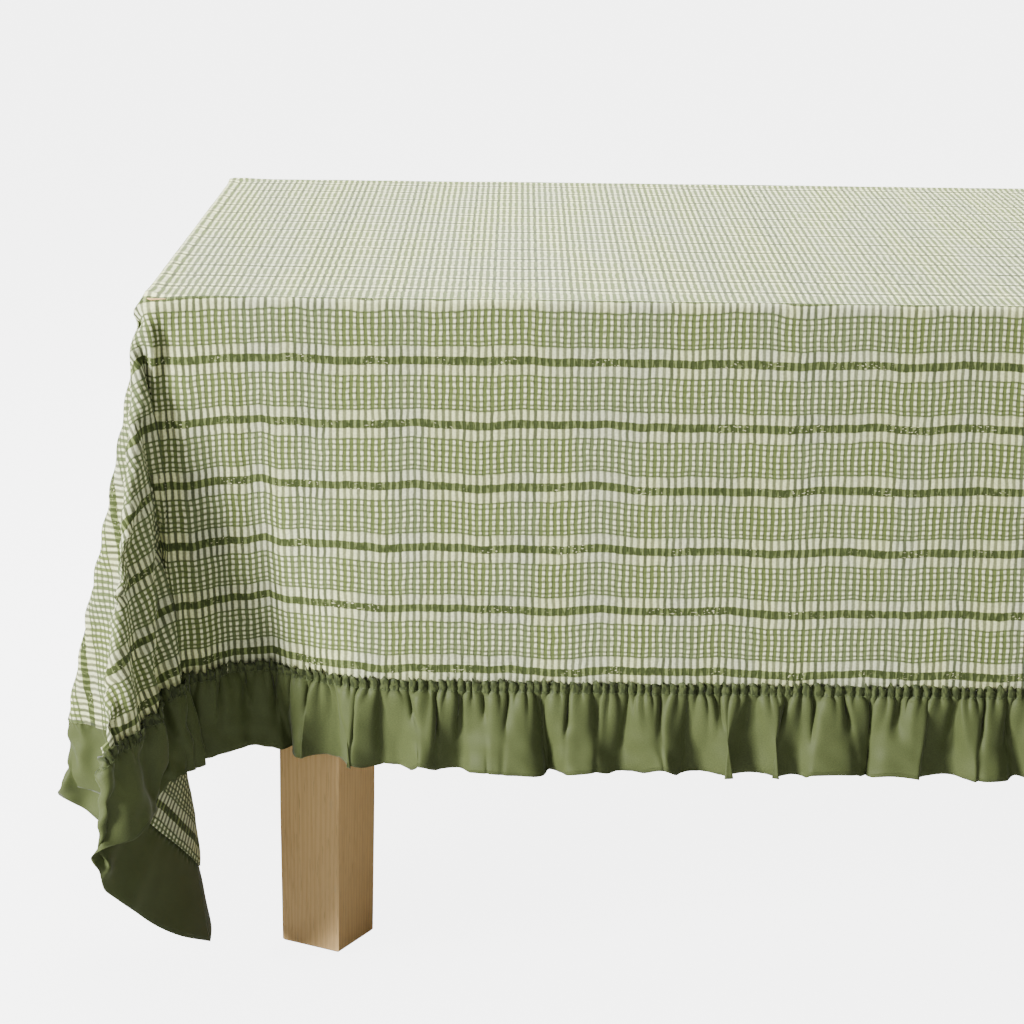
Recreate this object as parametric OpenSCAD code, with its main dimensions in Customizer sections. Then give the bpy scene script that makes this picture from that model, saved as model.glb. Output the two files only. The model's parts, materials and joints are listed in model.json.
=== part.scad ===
// Oak table dressed with a checked tablecloth that has a gathered ruffle along its hem.
// Millimetres, +Z up. The origin is on the floor under the middle of the table.
// The long sides face -Y and +Y, and the short ends face -X and +X.

/* [Tabletop] */
// Length of the tabletop
table_l = 1800; // [1400:10:2600]
// Width of the tabletop
table_w = 900; // [750:10:1200]
// Height of the tabletop above the floor
table_h = 755; // [735:5:1100]
// Thickness of the tabletop
top_t = 27; // [22:1:45]
// Number of boards glued edge to edge
board_n = 5; // [3:1:7]
// Radius of the tabletop's corners in plan
top_corner_r = 6; // [2:1:12]

/* [Battens] */
// Width of a cross batten
batten_w = 60; // [40:5:100]
// Thickness of a cross batten
batten_t = 22; // [18:1:35]
// Distance from the middle of the table to each batten
batten_x = 480; // [250:10:550]
// How far a batten stops short of the tabletop's long edge
batten_setback = 70; // [40:5:150]
// Sloped part at each end of a batten
batten_bevel = 30; // [10:5:60]

/* [Legs] */
// Side of a leg's square section
leg_w = 78; // [60:1:100]
// Side of the section at the foot
foot_w = 74; // [50:1:98]
// Height of the tapered part above the foot
taper_h = 250; // [50:10:500]
// Rounding of a leg's long edges
leg_edge_r = 2.5; // [1:0.5:5]
// Distance from the tabletop's end to a leg's axis
leg_inset_x = 175; // [80:5:300]
// Distance from the tabletop's long edge to a leg's axis
leg_inset_y = 130; // [80:5:150]
// Turn of each leg about its own axis, away from square to the table
leg_turn = 28; // [0:1:45]

/* [Leg fixings] */
// Side of a square leg plate
plate_w = 96; // [70:2:110]
// Thickness of a leg plate
plate_t = 4; // [3:0.5:6]
// Distance from the plate's middle to each row of screws
plate_screw_off = 36; // [28:1:46]
// Diameter of the hanger bolt
bolt_d = 10; // [8:1:12]
// Length of the hanger bolt inside the leg
bolt_in_leg = 45; // [30:5:80]
// Length of the hanger bolt above the plate, inside the top
bolt_in_top = 14; // [6:1:16]

/* [Screws] */
// Diameter of a wood screw's shank
screw_d = 4.5; // [3.5:0.5:6]
// Diameter of a wood screw's countersunk head
screw_head_d = 9; // [7:0.5:12]
// Depth of a wood screw in the tabletop
screw_in_top = 16; // [10:1:18]

/* [Floor glides] */
// Diameter of a floor glide
glide_d = 36; // [25:1:45]
// Height of a floor glide under the leg
glide_h = 4; // [3:0.5:8]
// Diameter of the glide's pin
glide_pin_d = 6; // [4:0.5:8]
// Length of the glide's pin inside the leg
glide_pin_l = 18; // [10:1:25]

/* [Tablecloth] */
// Thickness of the cloth, as a plain closed skin
cloth_t = 1.2; // [0.8:0.1:2]
// How far the checked panel hangs over the long sides
drop_side = 415; // [200:5:420]
// How far the checked panel hangs over the short ends
drop_end = 500; // [200:5:505]
// Width of the ruffle below the panel
ruffle_w = 90; // [40:5:95]
// Width of one pleat of the ruffle
pleat_w = 90; // [60:5:120]
// How far a pleat stands out at the ruffle's lower edge
pleat_depth = 9; // [4:1:12]
// Space between the cloth and the tabletop's face
rest_gap = 0.3; // [0.2:0.1:1]
// Space between the hanging cloth and the tabletop's edge
side_gap = 3.5; // [1:0.5:5]
// Radius of the bend where the cloth turns the table's corner
bend_r = 9; // [8:1:14]

/* [Hidden] */
$fn = 48;
overlap = 1;
board_w = table_w / board_n;
top_z = table_h - top_t;
plate_z = top_z - plate_t;
batten_z = top_z - batten_t;
batten_l = table_w - 2 * batten_setback;
leg_x = table_l / 2 - leg_inset_x;
leg_y = table_w / 2 - leg_inset_y;
head_h = (screw_head_d - screw_d) / 2;
recess_w = screw_head_d / 9;

// The four corners, as the sign of x and the sign of y, with the name of each.
corners = [[-1, -1, "front_left"], [1, -1, "front_right"], [1, 1, "back_right"], [-1, 1, "back_left"]];
sides = ["front", "right", "back", "left"];
board_names = [for (i = [1:board_n]) str("top_board_", i)];
leg_names = [for (c = corners) str("leg_", c[2])];
plate_names = [for (c = corners) str("leg_plate_", c[2])];
glide_names = [for (c = corners) str("floor_glide_", c[2])];
ruffle_names = [for (s = sides) str("ruffle_", s)];

// ---------- Table ----------

// Moves what follows it to the middle of one leg, without turning or mirroring it.
module at_corner(c) {
    translate([c[0] * leg_x, c[1] * leg_y, 0]) children();
}

// A square with rounded corners, made of true arcs.
module soft_square(w, l, r) {
    square([w - 2 * r, l], center = true);
    square([w, l - 2 * r], center = true);
    for (x = [-1, 1], y = [-1, 1])
        translate([x * (w / 2 - r), y * (l / 2 - r)]) circle(r);
}

// Points of the screws that hold one leg plate, about the plate's middle.
plate_screw_points = [for (x = [-1, 1], y = [-1, 1]) [x * plate_screw_off, y * plate_screw_off]];

// Middle line of board i, counted from the front.
function board_y(i) = -table_w / 2 + (i - 0.5) * board_w;

// The batten has one screw into each board, kept clear of its sloped ends.
function batten_screw_y(i) =
    let (reach = batten_l / 2 - batten_bevel - screw_head_d)
    max(-reach, min(reach, board_y(i)));

// A countersunk wood screw, head down, with the top of its shank at depth 'up' above the head.
module screw_shape(up) {
    cylinder(h = head_h, d1 = screw_head_d, d2 = screw_d);
    cylinder(h = up, d = screw_d);
}

module wood_screw(up) {
    difference() {
        screw_shape(up);
        for (a = [0, 90])
            rotate([0, 0, a])
                translate([-screw_head_d / 4, -recess_w / 2, -overlap])
                    cube([screw_head_d / 2, recess_w, overlap + head_h / 2]);
    }
}

module top_holes() {
    for (c = corners)
        at_corner(c) {
            translate([0, 0, top_z - overlap]) cylinder(h = bolt_in_top + overlap, d = bolt_d);
            for (p = plate_screw_points)
                translate([p[0], p[1], top_z - overlap]) cylinder(h = screw_in_top + overlap, d = screw_d);
        }
    for (s = [-1, 1], i = [1:board_n])
        translate([s * batten_x, batten_screw_y(i), top_z - overlap])
            cylinder(h = screw_in_top + overlap, d = screw_d);
}

// One board of the tabletop, lying along X.
module top_board(i) {
    color("burlywood")
        difference() {
            intersection() {
                translate([0, 0, top_z])
                    linear_extrude(top_t) soft_square(table_l, table_w, top_corner_r);
                translate([-table_l / 2 - overlap, board_y(i) - board_w / 2, top_z - overlap])
                    cube([table_l + 2 * overlap, board_w, top_t + 2 * overlap]);
            }
            top_holes();
        }
}

// A cross batten under the boards, with both ends sloped up.
module batten(s) {
    half = batten_l / 2;
    color("tan")
        difference() {
            translate([s * batten_x - batten_w / 2, 0, batten_z])
                rotate([90, 0, 90])
                    linear_extrude(batten_w)
                        polygon([
                            [-half + batten_bevel, 0], [half - batten_bevel, 0],
                            [half, batten_t * 0.6], [half, batten_t],
                            [-half, batten_t], [-half, batten_t * 0.6]
                        ]);
            for (i = [1:board_n])
                translate([s * batten_x, batten_screw_y(i), batten_z]) {
                    screw_shape(batten_t + overlap);
                    translate([0, 0, -overlap]) cylinder(h = overlap, d = screw_head_d);
                }
        }
}

module batten_screws() {
    color("silver")
        for (s = [-1, 1], i = [1:board_n])
            translate([s * batten_x, batten_screw_y(i), batten_z])
                wood_screw(batten_t + screw_in_top);
}

// Steel plate under the top that the leg's bolt screws into.
module leg_plate(c) {
    color("gainsboro")
        difference() {
            at_corner(c)
                translate([0, 0, plate_z]) linear_extrude(plate_t) soft_square(plate_w, plate_w, 8);
            at_corner(c) {
                translate([0, 0, plate_z - overlap]) cylinder(h = plate_t + 2 * overlap, d = bolt_d);
                for (p = plate_screw_points)
                    translate([p[0], p[1], plate_z]) {
                        screw_shape(plate_t + overlap);
                        translate([0, 0, -overlap]) cylinder(h = overlap, d = screw_head_d);
                    }
            }
        }
}

module plate_screws() {
    color("silver")
        for (c = corners, p = plate_screw_points)
            at_corner(c) translate([p[0], p[1], plate_z]) wood_screw(plate_t + screw_in_top);
}

module hanger_bolts() {
    color("silver")
        for (c = corners)
            at_corner(c)
                translate([0, 0, plate_z - bolt_in_leg])
                    cylinder(h = bolt_in_leg + plate_t + bolt_in_top, d = bolt_d);
}

// Upright slab with the leg's outline as seen from one side: eased at the foot, tapered, then straight.
module leg_outline(ease) {
    top = leg_w / 2;
    foot = foot_w / 2;
    rotate([90, 0, 0])
        linear_extrude(leg_w + 2 * overlap, center = true)
            polygon([
                [-foot + ease, glide_h], [foot - ease, glide_h], [foot, glide_h + ease],
                [top, glide_h + taper_h], [top, plate_z],
                [-top, plate_z], [-top, glide_h + taper_h], [-foot, glide_h + ease]
            ]);
}

// Square block leg, tapered a little at the foot, turned about its own axis.
module leg(c) {
    ease = 2;
    color("burlywood")
        difference() {
            at_corner(c)
                rotate([0, 0, -c[0] * c[1] * leg_turn])
                    intersection() {
                        linear_extrude(plate_z) soft_square(leg_w, leg_w, leg_edge_r);
                        leg_outline(ease);
                        rotate([0, 0, 90]) leg_outline(ease);
                    }
            at_corner(c) {
                translate([0, 0, plate_z - bolt_in_leg]) cylinder(h = bolt_in_leg + overlap, d = bolt_d);
                translate([0, 0, glide_h - overlap]) cylinder(h = glide_pin_l + overlap, d = glide_pin_d);
            }
        }
}

// Round glide with a pin, pressed into the foot of a leg.
module floor_glide(c) {
    ease = 1;
    color("dimgray")
        at_corner(c) {
            cylinder(h = ease, d1 = glide_d - 2 * ease, d2 = glide_d);
            translate([0, 0, ease]) cylinder(h = glide_h - ease, d = glide_d);
            translate([0, 0, glide_h - overlap]) cylinder(h = glide_pin_l + overlap, d = glide_pin_d);
        }
}

// ---------- Tablecloth ----------

// The free cloth at a corner, fanned out from the corner point. Each row gives the angle of a cloth
// line from the long side's own plumb line, then how far that line leans beyond the table's end and
// beyond its long side, for each unit of its length. The two outward rows are the ridges of the fold.
fold = [
    [0, 0, 0], [14, -0.07, 0.01], [35, 0.10, 0.26], [51, 0.01, 0.01],
    [70, 0.22, -0.22], [84, 0.03, -0.12], [90, 0, 0]
];
side_step = pleat_w / 2;
corner_steps = 20;
long_steps = 2 * round(table_l / side_step / 2);
short_steps = 2 * round(table_w / side_step / 2);
tip_angle = atan2(drop_end, drop_side);
rings = [0, 0.15, 0.45, 0.75, 1];
base_x = table_l / 2 + side_gap + cloth_t - bend_r;
base_y = table_w / 2 + side_gap + cloth_t - bend_r;
cloth_z = table_h + rest_gap + cloth_t;

// A smooth curve through the rows of the fold table.
function row(i) = fold[max(0, min(len(fold) - 1, i))];
function curve(a, b, c, d, t) =
    0.5 * (2 * b + (c - a) * t + (2 * a - 5 * b + 4 * c - d) * t * t + (3 * b - a - 3 * c + d) * t * t * t);
function free_lean(angle) =
    let (
        i = max([for (k = [0:len(fold) - 2]) fold[k][0] <= angle ? k : 0]),
        t = (angle - row(i)[0]) / (row(i + 1)[0] - row(i)[0])
    )
    [for (k = [1, 2]) curve(row(i - 1)[k], row(i)[k], row(i + 1)[k], row(i + 2)[k], t)];

// The same lean, held outside the table: at the end it never goes in past the end, nor at the side.
function lean(angle) =
    let (l = free_lean(angle))
    [l[1] <= 0 ? max(l[0], 0) : l[0], l[0] <= 0 ? max(l[1], 0) : l[1]];

// Length of a cloth line from the corner point to the panel's edge.
function reach(angle) = angle < tip_angle ? drop_side / cos(angle) : drop_end / sin(angle);

// Angles of the cloth lines at a corner, from the long side to the end, with one on the tip.
half_steps = corner_steps / 2;
corner_angles = concat(
    [for (i = [0:half_steps]) tip_angle * i / half_steps],
    [for (i = [1:half_steps]) tip_angle + (90 - tip_angle) * i / half_steps]
);

// A point of the cloth: [x, y, drop along z]. 'down' is the length of cloth below the table's edge.
function corner_point(sx, sy, angle, down) =
    let (l = lean(angle), fall = sqrt(1 - l[0] * l[0] - l[1] * l[1]))
    [sx * (base_x + bend_r * sin(angle) + l[0] * down),
     sy * (base_y + bend_r * cos(angle) + l[1] * down),
     -fall * down];

// One record per cloth line all the way round, anticlockwise from the middle of the front:
// [kind, place or angle, sign x, sign y].
function corner_lines(sx, sy, forward) =
    [for (a = forward ? corner_angles : [for (i = [corner_steps:-1:0]) corner_angles[i]]) ["c", a, sx, sy]];
function side_lines(n, kind, s, from) =
    [for (i = [1:n - 1]) [kind, from + (kind == "x" ? 2 * base_x : 2 * base_y) * -sign(from) * i / n, s, 0]];
front_lines = side_lines(long_steps, "x", -1, -base_x);
right_lines = side_lines(short_steps, "y", 1, -base_y);
back_lines = side_lines(long_steps, "x", 1, base_x);
left_lines = side_lines(short_steps, "y", -1, base_y);
lines = concat(
    front_lines, corner_lines(1, -1, true), right_lines, corner_lines(1, 1, false),
    back_lines, corner_lines(-1, 1, true), left_lines, corner_lines(-1, -1, false)
);
line_n = len(lines);

function line_reach(l) = l[0] == "c" ? reach(l[1]) : l[0] == "x" ? drop_side : drop_end;
function line_point(l, down) =
    l[0] == "c" ? corner_point(l[2], l[3], l[1], down)
    : l[0] == "x" ? [l[1], l[2] * (base_y + bend_r), -down]
    : [l[2] * (base_x + bend_r), l[1], -down];

// Outward direction in plan at line i of a ring of points.
function outward(pts, i) =
    let (
        n = len(pts),
        d = pts[(i + 1) % n] - pts[(i + n - 1) % n],
        m = norm([d[0], d[1]])
    )
    [d[1] / m, -d[0] / m, 0];
function inset(pts, t) = [for (i = [0:len(pts) - 1]) pts[i] - t * outward(pts, i)];

// Closed skin between an outer and an inner stack of rings. 'loop' joins the last line to the first,
// and 'capped' closes the first ring with a flat face on each side, fanned out from the middle.
module skin(outer, inner, loop, capped) {
    n = len(outer[0]);
    m = len(outer);
    last = loop ? n - 1 : n - 2;
    hub = 2 * m * n;
    hubs = capped ? [[0, 0, outer[0][0].z], [0, 0, inner[0][0].z]] : [];
    all = concat([for (r = outer) each r], [for (r = inner) each r], hubs);
    function o(k, i) = k * n + i % n;
    function p(k, i) = m * n + k * n + i % n;
    walls = [for (k = [0:m - 2], i = [0:last]) each [
        [o(k, i), o(k, i + 1), o(k + 1, i + 1)], [o(k, i), o(k + 1, i + 1), o(k + 1, i)],
        [p(k, i), p(k + 1, i + 1), p(k, i + 1)], [p(k, i), p(k + 1, i), p(k + 1, i + 1)]
    ]];
    bottom = [for (i = [0:last]) each [
        [o(m - 1, i), o(m - 1, i + 1), p(m - 1, i + 1)], [o(m - 1, i), p(m - 1, i + 1), p(m - 1, i)]
    ]];
    top = capped
        ? [for (i = [0:n - 1]) each [[hub, o(0, i + 1), o(0, i)], [hub + 1, p(0, i), p(0, i + 1)]]]
        : [for (i = [0:last]) each [
            [o(0, i), p(0, i + 1), o(0, i + 1)], [o(0, i), p(0, i), p(0, i + 1)]
        ]];
    ends = loop ? [] : [for (k = [0:m - 2]) each [
        [o(k, 0), o(k + 1, 0), p(k + 1, 0)], [o(k, 0), p(k + 1, 0), p(k, 0)],
        [o(k, n - 1), p(k + 1, n - 1), o(k + 1, n - 1)], [o(k, n - 1), p(k, n - 1), p(k + 1, n - 1)]
    ]];
    polyhedron(all, concat(walls, bottom, top, ends));
}

function raise(pts, z) = [for (q = pts) q + [0, 0, z]];
function ring(share) = [for (l = lines) line_point(l, share * line_reach(l))];

// The checked panel: flat on the table, hanging on every side, folded at the corners.
module cloth_panel() {
    outer = [for (share = rings) raise(ring(share), cloth_z)];
    inner = [for (k = [0:len(rings) - 1])
        raise(inset(ring(rings[k]), cloth_t), k == 0 ? cloth_z - cloth_t : cloth_z)];
    color("darkseagreen") skin(outer, inner, true, true);
}

hem = ring(1);
hem_inner = inset(hem, cloth_t);

// A point on the ruffle's lower edge, pushed out on every second line to make the pleats.
function pleat(i) = (i % 2 == 0 ? 1 : 0) * pleat_depth;
function frill_point(i) =
    let (l = lines[i])
    line_point(l, line_reach(l) + ruffle_w) + pleat(i) * outward(hem, i);

// First line of each ruffle, from one tip of the panel to the next, and the number of its lines.
tip_front_right = len(front_lines) + half_steps;
tip_back_right = tip_front_right + corner_steps + 1 + len(right_lines);
tip_back_left = tip_back_right + corner_steps + 1 + len(back_lines);
tip_front_left = tip_back_left + corner_steps + 1 + len(left_lines);
tips = [tip_front_left, tip_front_right, tip_back_right, tip_back_left, tip_front_left];

// One ruffle strip, sewn to one side of the panel from tip to tip.
module ruffle(s) {
    first = tips[s];
    span = (tips[s + 1] - first + line_n) % line_n;
    ids = [for (i = [0:span]) (first + i) % line_n];
    top_out = [for (i = ids) hem[i] + [0, 0, cloth_z]];
    top_in = [for (i = ids) hem_inner[i] + [0, 0, cloth_z]];
    low_out = [for (i = ids) frill_point(i) + [0, 0, cloth_z]];
    low_in = [for (i = ids) frill_point(i) - cloth_t * outward(hem, i) + [0, 0, cloth_z]];
    color("olivedrab") skin([top_out, low_out], [top_in, low_in], false, false);
}

for (i = [1:board_n])
    top_board(i);
batten(-1);  // batten_left
batten(1);  // batten_right
batten_screws();
for (i = [0:3])
    leg_plate(corners[i]);
plate_screws();
hanger_bolts();
for (i = [0:3])
    leg(corners[i]);
for (i = [0:3])
    floor_glide(corners[i]);
cloth_panel();
for (s = [0:3])
    ruffle(s);
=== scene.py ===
import json
import math

import bpy
import numpy as np
from mathutils import Matrix, Vector

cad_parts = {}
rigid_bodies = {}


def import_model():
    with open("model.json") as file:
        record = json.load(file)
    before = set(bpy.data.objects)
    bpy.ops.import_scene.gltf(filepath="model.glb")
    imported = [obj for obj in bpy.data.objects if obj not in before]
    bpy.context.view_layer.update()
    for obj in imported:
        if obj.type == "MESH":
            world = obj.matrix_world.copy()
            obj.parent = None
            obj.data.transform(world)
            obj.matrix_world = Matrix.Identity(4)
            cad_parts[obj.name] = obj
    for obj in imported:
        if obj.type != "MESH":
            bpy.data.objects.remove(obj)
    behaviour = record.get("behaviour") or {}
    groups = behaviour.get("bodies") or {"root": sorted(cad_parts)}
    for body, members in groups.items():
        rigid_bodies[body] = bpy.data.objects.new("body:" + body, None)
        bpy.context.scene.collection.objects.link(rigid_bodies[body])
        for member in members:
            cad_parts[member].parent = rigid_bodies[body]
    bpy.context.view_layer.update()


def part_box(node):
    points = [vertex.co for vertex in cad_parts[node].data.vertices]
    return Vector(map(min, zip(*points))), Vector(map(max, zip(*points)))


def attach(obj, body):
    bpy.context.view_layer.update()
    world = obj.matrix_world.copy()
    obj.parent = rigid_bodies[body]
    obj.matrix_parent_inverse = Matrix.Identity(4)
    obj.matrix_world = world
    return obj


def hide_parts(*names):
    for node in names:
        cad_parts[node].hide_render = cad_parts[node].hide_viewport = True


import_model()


# ---------- Camera ----------
# A long lens stands well back from the table's left end, a little above the cloth, and looks along the
# short sides. It is tipped down, and rolled a touch, so the long edges run slightly down to the right.
table_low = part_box("top_board_1")[0]
table_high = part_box("top_board_5")[1]
half_length = table_high.x
half_width = table_high.y
table_top = table_high.z

camera_data = bpy.data.cameras.new("camera")
camera = bpy.data.objects.new("camera", camera_data)
bpy.context.collection.objects.link(camera)
camera_data.sensor_width = 36.0
camera_data.lens = 98.35
camera_data.clip_end = 50.0
camera_right_of_end = 0.377
camera_in_front = 2.82
camera_above_top = 0.503
camera_tip = 14.38
camera_roll = 0.75
camera.location = (
    -half_length + camera_right_of_end,
    -half_width - camera_in_front,
    table_top + camera_above_top,
)
tip = Matrix.Rotation(math.radians(90 - camera_tip), 4, "X")
roll = Matrix.Rotation(math.radians(camera_roll), 4, "Z")
camera.rotation_euler = (tip @ roll).to_euler()
bpy.context.scene.camera = camera


# ---------- Studio ----------
# Plain pale floor with no edge in view, a white surround, one large soft light from the upper left
# in front, a weak one on the right, and a soft light over the top.
def pick_none():
    """Deselects all, in object mode, so the next operator acts on its own piece only."""
    bpy.ops.object.select_all(action="DESELECT")


pick_none()
bpy.ops.mesh.primitive_plane_add(size=60.0, location=(0, 0, -0.0005))
floor = bpy.context.object
floor.name = "floor"
floor_paint = bpy.data.materials.new("floor_paint")
floor_paint.use_nodes = True
floor_shader = floor_paint.node_tree.nodes["Principled BSDF"]
floor_shader.inputs["Base Color"].default_value = (0.36, 0.36, 0.36, 1)
floor_shader.inputs["Roughness"].default_value = 0.9
floor_shader.inputs["Specular IOR Level"].default_value = 0.1
floor_shader.inputs["Emission Color"].default_value = (1, 1, 1, 1)
seen = floor_paint.node_tree.nodes.new("ShaderNodeLightPath")
glow = floor_paint.node_tree.nodes.new("ShaderNodeMath")
glow.operation = "MULTIPLY"
glow.inputs[1].default_value = 5.2
floor_paint.node_tree.links.new(seen.outputs["Is Camera Ray"], glow.inputs[0])
floor_paint.node_tree.links.new(glow.outputs[0], floor_shader.inputs["Emission Strength"])
floor.data.materials.append(floor_paint)

world = bpy.data.worlds.new("white_room")
world.use_nodes = True
world.node_tree.nodes["Background"].inputs["Color"].default_value = (1, 1, 1, 1)
room_light = 0.2
room_seen = world.node_tree.nodes.new("ShaderNodeLightPath")
room_glow = world.node_tree.nodes.new("ShaderNodeMath")
room_glow.operation = "MULTIPLY_ADD"
room_glow.inputs[1].default_value = glow.inputs[1].default_value
room_glow.inputs[2].default_value = room_light
world.node_tree.links.new(room_seen.outputs["Is Camera Ray"], room_glow.inputs[0])
world.node_tree.links.new(room_glow.outputs[0], world.node_tree.nodes["Background"].inputs["Strength"])
bpy.context.scene.world = world


def soft_light(name, place, aim, size, watts):
    """A square softbox at place, turned to face aim."""
    data = bpy.data.lights.new(name, "AREA")
    data.shape = "SQUARE"
    data.size = size
    data.energy = watts
    light = bpy.data.objects.new(name, data)
    bpy.context.collection.objects.link(light)
    light.location = place
    light.rotation_euler = (Vector(aim) - Vector(place)).to_track_quat("-Z", "Y").to_euler()


table_middle = (0, 0, table_top * 0.6)
soft_light("key_light", (-4.6, -3.0, 1.9), table_middle, 1.2, 650)
soft_light("fill_light", (-0.5, -4.8, 2.6), table_middle, 2.5, 8)
soft_light("top_light", (-0.3, 0.9, 3.6), table_middle, 2.6, 430)


# ---------- Drape ----------
# The cloth is one flat sheet laid over the table: the checked panel with the ruffle's width round it.
# It is hung over the edges in a given shape, then left to settle as cloth over the tabletop, and everything
# sewn to it is placed on the shape it settles in.
drop_end = 0.500
drop_side = 0.415
ruffle_width = 0.090
panel_half = np.array([half_length + drop_end, half_width + drop_side])
sheet_half = panel_half + ruffle_width
cloth_lift = 0.0008


def spaced(*stretches):
    """Line places from (start, end, cells) stretches that follow each other."""
    runs = [np.linspace(a, b, n, endpoint=False) for a, b, n in stretches]
    return np.append(np.concatenate(runs), stretches[-1][1])


def mirrored(half_lines):
    return np.concatenate([-half_lines[:0:-1], half_lines])


around_edge = 0.014
u_lines = mirrored(spaced(
    (0, 0.55, 14), (0.55, half_length - around_edge, 14),
    (half_length - around_edge, half_length + around_edge, 2),
    (half_length + around_edge, sheet_half[0], 33),
))
v_lines = mirrored(spaced(
    (0, 0.20, 4), (0.20, half_width - around_edge, 9),
    (half_width - around_edge, half_width + around_edge, 2),
    (half_width + around_edge, sheet_half[1], 28),
))

# How the free cloth fans out below each corner. Each row is a cloth line: its angle from the long
# side's plumb line, then its lean beyond the table's end and beyond its long side. Two rows stand out
# as the ridges of the fold, and the panel's tip hangs between them.
fold_rows = {
    (-1, -1): [(-14, -0.07, -0.05), (0, -0.07, -0.04), (12, -0.06, 0.0), (24, 0.0, 0.14), (35, 0.12, 0.31),
               (51, -0.15, -0.15), (70, 0.24, -0.28), (84, 0.03, -0.12), (90, 0.0, -0.05), (104, 0, 0)],
    (1, -1): [(-14, -0.05, -0.03), (0, -0.05, -0.02), (12, -0.05, 0.01), (33, 0.07, 0.26), (50, -0.11, -0.12),
              (68, 0.20, -0.20), (82, 0.02, -0.10), (90, 0.0, -0.04), (104, 0, 0)],
    (1, 1): [(-14, -0.06, -0.04), (0, -0.06, -0.03), (12, -0.05, 0.0), (36, 0.12, 0.27), (53, -0.10, -0.13),
             (72, 0.22, -0.24), (84, 0.03, -0.12), (90, 0.0, -0.03), (104, 0, 0)],
    (-1, 1): [(-14, -0.05, -0.02), (0, -0.05, -0.02), (10, -0.05, 0.0), (32, 0.08, 0.24), (48, -0.10, -0.11),
              (69, 0.23, -0.20), (83, 0.02, -0.12), (90, 0.0, -0.04), (104, 0, 0)],
}

# Just short of each fold the long side swings in under the table: how far in, per length of drop.
side_recess = {(-1, -1): 0.13, (1, -1): 0.09, (1, 1): 0.11, (-1, 1): 0.07}
rows_lean = {corner: rows[1][1] for corner, rows in fold_rows.items()}
recess_middle = 0.80
recess_reach = 0.085


def lean(rows, angle):
    """Lean of the cloth lines at these angles, smoothed between the rows."""
    rows = np.array(rows, float)
    out = np.zeros(angle.shape + (2,))
    for shift, share in ((-5, 0.12), (-2.5, 0.2), (0, 0.36), (2.5, 0.2), (5, 0.12)):
        for axis in (0, 1):
            out[..., axis] += share * np.interp(angle + shift, rows[:, 0], rows[:, 1 + axis])
    return out


def hang_by_hand(u, v):
    """First place of each point of the flat sheet: on the top, over a side, or in a corner's fan."""
    past_end = np.maximum(np.abs(u) - half_length, 0)
    past_side = np.maximum(np.abs(v) - half_width, 0)
    down = np.hypot(past_end, past_side)
    angle = np.degrees(np.arctan2(past_end, past_side))
    place = np.zeros(u.shape + (3,))
    place[..., 0] = np.clip(u, -half_length, half_length)
    place[..., 1] = np.clip(v, -half_width, half_width)
    for (sx, sy), rows in fold_rows.items():
        here = (np.sign(u) == sx) & (np.sign(v) == sy) & (past_end > 0) & (past_side > 0)
        out = lean(rows, angle)
        fall = np.sqrt(1 - (out ** 2).sum(-1))
        place[..., 0] += np.where(here, sx * out[..., 0] * down, 0)
        place[..., 1] += np.where(here, sy * out[..., 1] * down, 0)
        place[..., 2] -= np.where(here, fall * down, 0)
    for (sx, sy), recess in side_recess.items():
        from_middle = (np.sign(u) * sx * np.abs(u) - recess_middle) / recess_reach
        here = (np.sign(v) == sy) & (past_end == 0) & (past_side > 0)
        inward = recess * np.exp(-from_middle ** 2) * past_side * np.clip(past_side / drop_side, 0, 1)
        place[..., 1] -= np.where(here, sy * inward, 0)
        drawn_in = np.clip((np.sign(u) * sx * np.abs(u) - 0.70) / 0.20, 0, 1) ** 1.5
        place[..., 0] += np.where(here, sx * rows_lean[sx, sy] * drawn_in * past_side, 0)
    one_side = (past_end == 0) | (past_side == 0)
    place[..., 2] -= np.where(one_side, down, 0)
    stand_off = 0.004
    place[..., 0] += np.sign(u) * np.where(past_end > 0, stand_off, 0)
    place[..., 1] += np.sign(v) * np.where(past_side > 0, stand_off, 0)
    place[..., 2] += table_top + cloth_lift
    return place


def grid_mesh(name, columns, rows, places):
    """A primitive grid of columns by rows points, moved to places[column, row]."""
    pick_none()
    bpy.ops.mesh.primitive_grid_add(x_subdivisions=columns - 1, y_subdivisions=rows - 1, size=1)
    piece = bpy.context.object
    piece.name = name
    piece.data.name = name
    order = np.swapaxes(places, 0, 1).reshape(-1)
    piece.data.vertices.foreach_set("co", order.astype(np.float32))
    piece.data.update()
    return piece


def read_grid(mesh, columns, rows):
    """Places of a grid's points as an array [column, row]."""
    flat = np.zeros(len(mesh.vertices) * 3)
    mesh.vertices.foreach_get("co", flat)
    return np.swapaxes(flat.reshape(rows, columns, 3), 0, 1)


u_grid, v_grid = np.meshgrid(u_lines, v_lines, indexing="ij")
drape_places = hang_by_hand(u_grid, v_grid)
flat_places = np.stack([u_grid, v_grid, np.full_like(u_grid, table_top + cloth_lift)], axis=-1)
drape = grid_mesh("drape", len(u_lines), len(v_lines), flat_places)
on_top = (np.abs(u_grid) < half_length - 0.01) & (np.abs(v_grid) < half_width - 0.01)
held = drape.vertex_groups.new(name="held")
held.add(np.flatnonzero(on_top.T.reshape(-1)).tolist(), 1.0, "REPLACE")
held.add(np.flatnonzero(~on_top.T.reshape(-1)).tolist(), 0.9, "REPLACE")
drape.shape_key_add(name="as_cut")
hung = drape.shape_key_add(name="hung")
hung.data.foreach_set("co", np.swapaxes(drape_places, 0, 1).reshape(-1).astype(np.float32))
hand_frames = 10
for frame_number, share in ((1, 0.0), (hand_frames, 1.0)):
    hung.value = share
    hung.keyframe_insert("value", frame=frame_number)

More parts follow.
